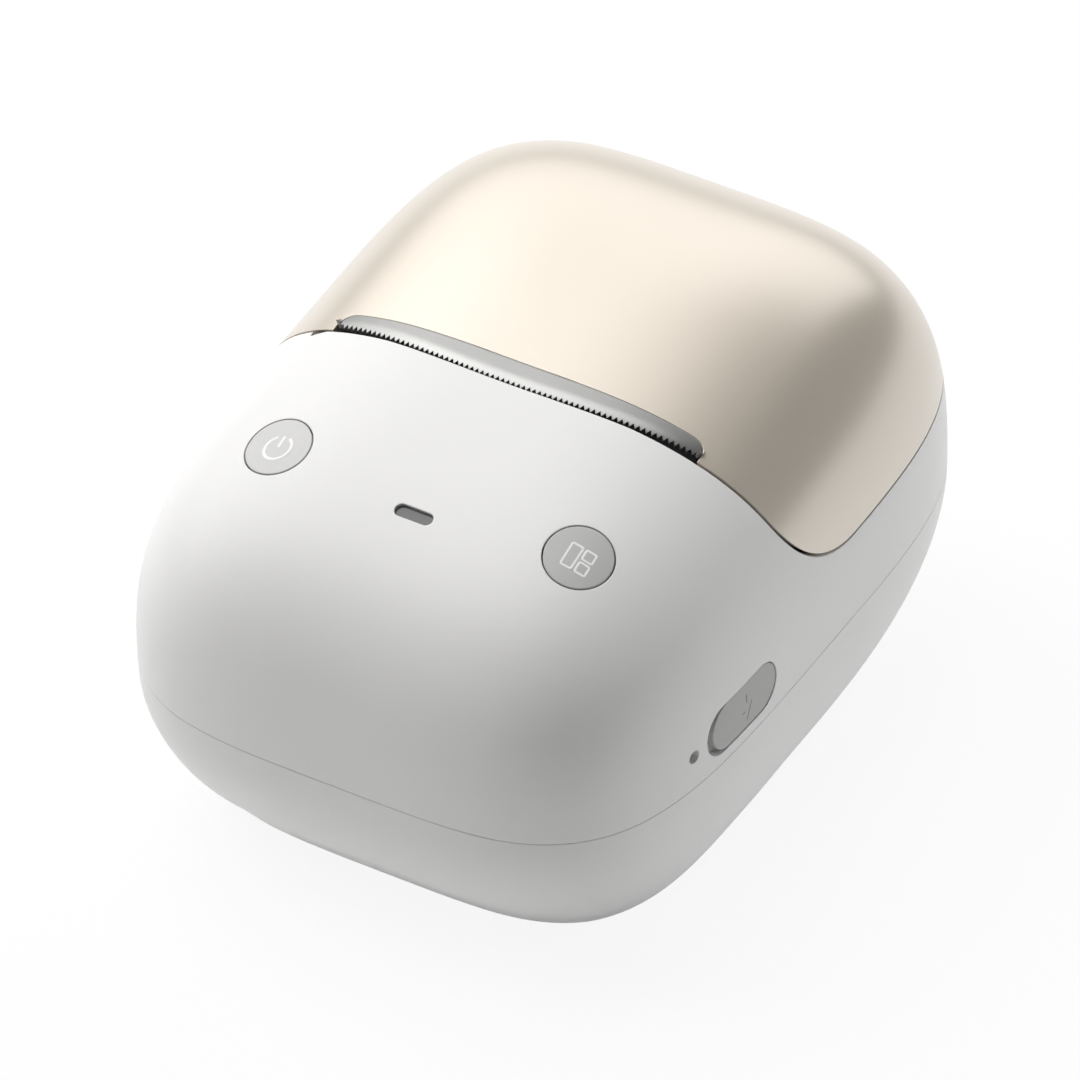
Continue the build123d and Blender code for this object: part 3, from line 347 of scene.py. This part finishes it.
def makeFinish(name, color, rough, grain, bump, tone, metal=0.0, group="mouldedGrain", edge=0.0, coat=0.0,
               coatIor=1.5, under=0.0):
    material = bpy.data.materials.new(name)
    material.use_nodes = True
    tree = material.node_tree
    tree.nodes.clear()
    link = tree.links.new
    shader = tree.nodes.new("ShaderNodeBsdfPrincipled")
    out = tree.nodes.new("ShaderNodeOutputMaterial")
    surface = tree.nodes.new("ShaderNodeGroup")
    surface.node_tree = groups[group]
    surface.inputs[0].default_value = grain
    surface.inputs["Tone"].default_value = tone
    tint = tree.nodes.new("ShaderNodeMix")
    tint.data_type = "RGBA"
    tint.blend_type = "MULTIPLY"
    tint.inputs["Factor"].default_value = 1.0
    tint.inputs["A"].default_value = (*color, 1)
    roughSpread = tree.nodes.new("ShaderNodeMapRange")
    roughSpread.inputs["To Min"].default_value = rough - surfaceSet["roughRange"]
    roughSpread.inputs["To Max"].default_value = rough + surfaceSet["roughRange"]
    relief = tree.nodes.new("ShaderNodeBump")
    relief.inputs["Distance"].default_value = bump * mm
    relief.inputs["Strength"].default_value = surfaceSet["bumpStrength"]
    link(surface.outputs["Shade"], tint.inputs["B"])
    link(tint.outputs["Result"], shader.inputs["Base Color"])
    link(surface.outputs["Height"], roughSpread.inputs["Value"])
    link(roughSpread.outputs["Result"], shader.inputs["Roughness"])
    link(surface.outputs["Height"], relief.inputs["Height"])
    if edge:
        rounding = tree.nodes.new("ShaderNodeBevel")
        rounding.samples = surfaceSet["bevelSamples"]
        rounding.inputs["Radius"].default_value = edge * mm
        link(rounding.outputs["Normal"], relief.inputs["Normal"])
    link(relief.outputs["Normal"], shader.inputs["Normal"])
    shader.inputs["Metallic"].default_value = metal
    shader.inputs["Coat Weight"].default_value = coat
    if coat:
        shader.inputs["Coat Roughness"].default_value = surfaceSet["coatRough"]
        shader.inputs["Coat IOR"].default_value = coatIor
    if under:
        shader.inputs["Subsurface Weight"].default_value = under
        shader.inputs["Subsurface Radius"].default_value = (mm, mm, mm)
    link(shader.outputs["BSDF"], out.inputs["Surface"])
    return material


# The rounded body's form, in millimetres, as the case and lid have it

bodyForm = {
    "halfWidth": 43.2,
    "halfLength": 56.8,
    "height": 64.8,
    "waist": 26.2,
    "foot": 0.8,
    "planPower": 4.0,
    "domePower": 3.0,
    "shift": -1.3,
    "tilt": 0.109,
    "tuckSide": 0.187,
    "tuckEnd": 0.071,
    "tuckPower": 2.05,
}


def formValue(x, y, z, inset=0.0):
    # Negative inside the form, zero on it.
    f = bodyForm
    halfWidth, halfLength = f["halfWidth"] - inset, f["halfLength"] - inset
    over = z - f["foot"] - f["waist"]
    if over >= 0:
        dome = over / (f["height"] - inset - f["waist"] + f["tilt"] * y)
        along = abs(y - f["shift"] * dome) / halfLength
        across = abs(x) / halfWidth
        reach = (across ** f["planPower"] + along ** f["planPower"]) ** (1 / f["planPower"])
        return (reach ** f["domePower"] + dome ** f["domePower"]) ** (1 / f["domePower"]) - 1
    down = -over / f["waist"]
    across, along = abs(x) / halfWidth, abs(y) / halfLength
    reach = (across ** f["planPower"] + along ** f["planPower"]) ** (1 / f["planPower"])
    share = (along / reach) ** f["planPower"] if reach else 0
    tuck = f["tuckSide"] + f["tuckEnd"] * share
    return reach / (1 - tuck * down ** f["tuckPower"]) - 1


def formNormal(x, y, z, inset=0.0):
    step = 0.02
    slope = Vector((
        formValue(x + step, y, z, inset) - formValue(x - step, y, z, inset),
        formValue(x, y + step, z, inset) - formValue(x, y - step, z, inset),
        formValue(x, y, z + step, inset) - formValue(x, y, z - step, inset),
    ))
    return slope.normalized()


searchSet = {"halvings": 40, "above": 80.0, "beside": 60.0}


def findSurface(low, high, isInside):
    # Halves the span from an inside to an outside value until it closes on the surface.
    for _ in range(searchSet["halvings"]):
        middle = (low + high) / 2
        if isInside(middle):
            low = middle
        else:
            high = middle
    return low


def formTop(x, y, inset=0.0):
    # Height of the form over a place in plan.
    waist = bodyForm["foot"] + bodyForm["waist"]
    return findSurface(waist, searchSet["above"], lambda z: formValue(x, y, z, inset) < 0)


def formSide(y, z, inset=0.0):
    # How far the form's port side lies from the middle.
    return findSurface(0.0, searchSet["beside"], lambda x: formValue(x, y, z, inset) < 0)


shadeSet = {
    "near": 0.09,             # a vertex this close to the form lies on it, in millimetres
    "lean": 0.97,             # least cosine between a face and the form's own normal
    "sharp": 28,              # degrees
    "merge": 0.002,
    "probe": 0.1,
}


def smoothCopy(nodeName, pieceName, body, slotName, inset=0.0, roundEdges=0.0):
    # A node's own shape with the true normals of the form on its outside.
    piece = bpy.data.objects.new(pieceName, nodes[nodeName].data.copy())
    bpy.context.scene.collection.objects.link(piece)
    makeActive(piece)
    bpy.ops.mesh.customdata_custom_splitnormals_clear()
    bpy.ops.object.mode_set(mode="EDIT")
    bpy.ops.mesh.select_all(action="SELECT")
    bpy.ops.mesh.remove_doubles(threshold=shadeSet["merge"] * mm)
    bpy.ops.object.mode_set(mode="OBJECT")
    if roundEdges:
        addBevel(piece, roundEdges, 3, 50)
        applyAll(piece)
    bpy.ops.object.shade_smooth_by_angle(angle=math.radians(shadeSet["sharp"]))
    mesh = piece.data
    onForm = {}
    probe = shadeSet["probe"]
    for vertex in mesh.vertices:
        x, y, z = vertex.co / mm
        normal = formNormal(x, y, z, inset)
        here = formValue(x, y, z, inset)
        outside = formValue(x + normal.x * probe, y + normal.y * probe, z + normal.z * probe, inset)
        slope = (outside - here) / probe
        if slope > 0 and abs(here) / slope < shadeSet["near"]:
            onForm[vertex.index] = normal
    normals = [corner.vector.copy() for corner in mesh.corner_normals]
    for face in mesh.polygons:
        for loop in face.loop_indices:
            normal = onForm.get(mesh.loops[loop].vertex_index)
            if normal and normal.dot(face.normal) > shadeSet["lean"]:
                normals[loop] = normal
    mesh.normals_split_custom_set(normals)
    mesh.materials.clear()
    mesh.materials.append(finishOf[slotName])
    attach(piece, body)
    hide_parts(nodeName)


# The tear blade, ground along its teeth

bladeSet = {
    "half": 28.2,
    "tipMiddle": -10.6,
    "tipEnd": -7.8,
    "rearMiddle": -6.65,
    "rearEnd": -5.6,
    "cornerRadius": 2.0,
    "thickness": 0.85,
    "teeth": 69,
    "toothDepth": 0.6,
    "grindWidth": 1.9,
    "grindDrop": 0.42,
    "rows": 14,
    "rootRow": 0.6,           # where the line of the teeth's roots lies, counted in rows
    "endMargin": 0.3,         # plain steel past the outermost teeth
    "endStep": 0.1,
    "edge": 0.05,
}


def bladeEdges(x):
    # Front and rear edge of the blade at one place along it.
    b = bladeSet
    bow = (x / b["half"]) ** 2
    front = b["tipMiddle"] + (b["tipEnd"] - b["tipMiddle"]) * bow
    rear = b["rearMiddle"] + (b["rearEnd"] - b["rearMiddle"]) * bow
    past = abs(x) - (b["half"] - b["cornerRadius"])
    if past > 0:
        rear -= b["cornerRadius"] - math.sqrt(max(0, b["cornerRadius"] ** 2 - past ** 2))
    return front, rear


def tearBlade():
    b = bladeSet
    inner = b["half"] - b["endMargin"]
    places = [-b["half"], b["endStep"] - b["half"]]
    places += [-inner + index * inner / b["teeth"] for index in range(2 * b["teeth"] + 1)]
    places += [b["half"] - b["endStep"], b["half"]]
    deselectAll()
    columns, rows = len(places) - 1, b["rows"]
    bpy.ops.mesh.primitive_grid_add(x_subdivisions=columns, y_subdivisions=rows, size=b["half"] * mm)
    blade = bpy.context.object
    for vertex in blade.data.vertices:
        column, row = vertex.index % (columns + 1), vertex.index // (columns + 1)
        x = places[column]
        front, rear = bladeEdges(x)
        root = front + b["toothDepth"]
        isTip = column % 2 == 0 and 1 < column < columns - 1
        if row == 0:
            y = front if isTip else root
        else:
            y = root + (rear - root) * (row - b["rootRow"]) / (rows - b["rootRow"])
        fromTip = max(0, 1 - (y - front) / b["grindWidth"])
        z = formTop(x, y) - b["grindDrop"] * fromTip ** 2
        vertex.co = Vector((x, y, z)) * mm
    solid = blade.modifiers.new("thickness", "SOLIDIFY")
    solid.thickness = b["thickness"] * mm
    solid.offset = -1
    addBevel(blade, b["edge"], 2, 50)
    applyAll(blade)
    finishPiece(blade, "tearBlade", "lid", "blade_steel", 35)
    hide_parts("tear_bar")


# Printed and engraved marks

def stroke(points, width, closed=False):
    # A line with rounded section in the XY plane, as a mesh, in millimetres.
    curve = bpy.data.curves.new("stroke", "CURVE")
    curve.dimensions = "3D"
    curve.bevel_depth = width / 2
    curve.bevel_resolution = 3
    curve.use_fill_caps = True
    spline = curve.splines.new("POLY")
    spline.points.add(len(points) - 1)
    for place, (x, y) in zip(spline.points, points):
        place.co = (x, y, 0, 1)
    spline.use_cyclic_u = closed
    line = bpy.data.objects.new("stroke", curve)
    bpy.context.scene.collection.objects.link(line)
    makeActive(line)
    bpy.ops.object.convert(target="MESH")
    return bpy.context.object


def roundedRectangle(low, high, radius, steps=5):
    points = []
    corners = ((high[0] - radius, high[1] - radius, 0), (low[0] + radius, high[1] - radius, 90),
               (low[0] + radius, low[1] + radius, 180), (high[0] - radius, low[1] + radius, 270))
    for x, y, start in corners:
        for step in range(steps + 1):
            angle = math.radians(start + 90 * step / steps)
            points.append((x + radius * math.cos(angle), y + radius * math.sin(angle)))
    return points


def joinPieces(pieces):
    makeActive(pieces[0])
    for piece in pieces:
        piece.select_set(True)
    bpy.ops.object.join()
    return bpy.context.object


markRelief = 0.2              # a mark's height as a share of its line's width


def layOnKey(piece, x, y):
    # Bends a flat mark onto a key's top and flattens it to a thin relief.
    for vertex in piece.data.vertices:
        px, py = x + markShift[0] + vertex.co.x, y + markShift[1] + vertex.co.y
        pz = formTop(px, py)
        vertex.co = (Vector((px, py, pz)) + formNormal(px, py, pz) * vertex.co.z * markRelief) * mm


buttonSet = {"x": 23.3, "y": -31.8}
markShift = (0.15, -0.3)      # both marks lie a little off the middle of their keys
powerMark = {"radius": 1.9, "line": 0.42, "gap": 27, "steps": 40, "barLow": 0.1, "barHigh": 2.0}
layoutMark = {"width": 3.65, "height": 3.5, "tall": 1.6, "small": 1.5, "line": 0.32, "corner": 0.22}


def powerSign():
    # An open ring with a short bar in its gap.
    p = powerMark
    arc = []
    for step in range(p["steps"] + 1):
        angle = math.radians(90 + p["gap"] + (360 - 2 * p["gap"]) * step / p["steps"])
        arc.append((p["radius"] * math.cos(angle), p["radius"] * math.sin(angle)))
    bar = [(0, p["barLow"] + (p["barHigh"] - p["barLow"]) * step / 4) for step in range(5)]
    mark = joinPieces([stroke(arc, p["line"]), stroke(bar, p["line"])])
    layOnKey(mark, -buttonSet["x"], buttonSet["y"])
    finishPiece(mark, "powerMark", "power_key", "button_pale", 60, "mark_white")


def layoutSign():
    # One tall box and two small ones beside it.
    m = layoutMark
    left, low = -m["width"] / 2, -m["height"] / 2
    boxes = (
        ((left, low), (left + m["tall"], -low)),
        ((-left - m["small"], low), (-left, low + m["small"])),
        ((-left - m["small"], -low - m["small"]), (-left, -low)),
    )
    mark = joinPieces([stroke(roundedRectangle(a, b, m["corner"]), m["line"], closed=True) for a, b in boxes])
    layOnKey(mark, buttonSet["x"], buttonSet["y"])
    finishPiece(mark, "layoutMark", "function_key", "button_grey", 60, "mark_white")


coverMark = {
    "line": 0.16,
    "sunk": 0.1,              # the port cover under the case's surface
    "y": -21.5,
    "z": 32.8,
    "strokes": (((2.28, 0.03), (1.04, -2.65)), ((0.96, 1.88), (1.04, 0.39)), ((0.55, -0.86), (-0.05, -0.91))),
}


def coverMarks():
    # Three fine separate strokes pressed into the port cover.
    c = coverMark
    lines = []
    for start, end in c["strokes"]:
        points = [Vector(start).lerp(Vector(end), step / 6) for step in range(7)]
        lines.append(stroke([(c["y"] + point.x, c["z"] + point.y) for point in points], c["line"]))
    mark = joinPieces(lines)
    for vertex in mark.data.vertices:
        y, z = vertex.co.x, vertex.co.y
        x = formSide(y, z, c["sunk"])
        vertex.co = (Vector((x, y, z)) + formNormal(x, y, z, c["sunk"]) * vertex.co.z * markRelief) * mm
    finishPiece(mark, "coverMark", "port_cover", "cover_rubber", 60, "mark_dark")


# What the open lid shows

ribSet = {
    "places": (-21.0, -7.0, 7.0, 21.0),
    "thick": 1.0,
    "depth": 2.4,
    "front": 8.0,
    "rear": 45.0,
    "steps": 24,
    "skin": 1.7,              # how deep under the outside the ribs start
    "edge": 0.2,
}


def lidRibs():
    # Stiffening ribs along the inside of the lid, rooted in its wall.
    r = ribSet
    for number, x in enumerate(r["places"], 1):
        deselectAll()
        bpy.ops.mesh.primitive_grid_add(x_subdivisions=1, y_subdivisions=r["steps"], size=r["thick"] * mm)
        rib = bpy.context.object
        for vertex in rib.data.vertices:
            along = (vertex.co.y / mm / r["thick"]) + 0.5
            place = x + vertex.co.x / mm
            y = r["front"] + (r["rear"] - r["front"]) * along
            vertex.co = Vector((place, y, formTop(place, y, r["skin"]))) * mm
        thicken(rib, (0, 0, -r["depth"] * mm))
        addBevel(rib, r["edge"], 2)
        applyAll(rib)
        finishPiece(rib, "lidRib" + str(number), "lid", "lid_pearl")


headStrips = {
    # name: height, how far it stands out, finish
    "glazeStrip": (2.4, 0.04, "ceramic"),
    "heaterLine": (0.5, 0.08, "chip_black"),
}
headSet = {"half": 25.0, "root": 0.1}


def headDetails():
    # The heater line across the print head's face, on its raised strip of glaze.
    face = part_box("print_head_ceramic")[1].y
    height = sum(corner.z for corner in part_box("platen_roller")) / 2
    for name, (tall, proud, material) in headStrips.items():
        deselectAll()
        bpy.ops.mesh.primitive_grid_add(x_subdivisions=24, y_subdivisions=6, size=1)
        strip = bpy.context.object
        for vertex in strip.data.vertices:
            across, up = 2 * vertex.co.x, 2 * vertex.co.y
            crown = proud * mm * (1 - up ** 4)
            vertex.co = Vector((across * headSet["half"] * mm, face + crown, height + up * tall * mm / 2))
        thicken(strip, (0, -headSet["root"] * mm, 0))
        finishPiece(strip, name, "print_head", "ceramic", 30, material)


# Build

bpy.context.scene.view_settings.view_transform = "Standard"
addCamera()
addLamps()
addWorld()
addFloor()
print("stage ready")

groups["mouldedGrain"] = mouldedGrainGroup()
groups["brushed"] = brushedGroup()
finishOf = {name: makeFinish(name, **values) for name, values in finishSet.items()}
for part in frame["record"]["subparts"]:
    piece, material = nodes[part["node"]], finishOf[part["material_slot"]]
    if not piece.material_slots:
        piece.data.materials.append(material)
    for slot in piece.material_slots:
        slot.material = material
print("finishes:", len(finishOf))

smoothCopy("base_shell", "baseShell", "case", "shell_white")
smoothCopy("top_shell", "topShell", "case", "shell_white")
smoothCopy("lid_cover", "lidCover", "lid", "lid_pearl")
smoothCopy("power_button", "powerButton", "power_key", "button_pale", roundEdges=0.2)
smoothCopy("function_button", "functionButton", "function_key", "button_grey", roundEdges=0.2)
smoothCopy("usb_cover", "portCover", "port_cover", "cover_rubber", coverMark["sunk"], roundEdges=0.15)
print("case, lid and keys ready")

tearBlade()
powerSign()
layoutSign()
coverMarks()
print("blade and marks ready")

lidRibs()
headDetails()
print("inside ready")
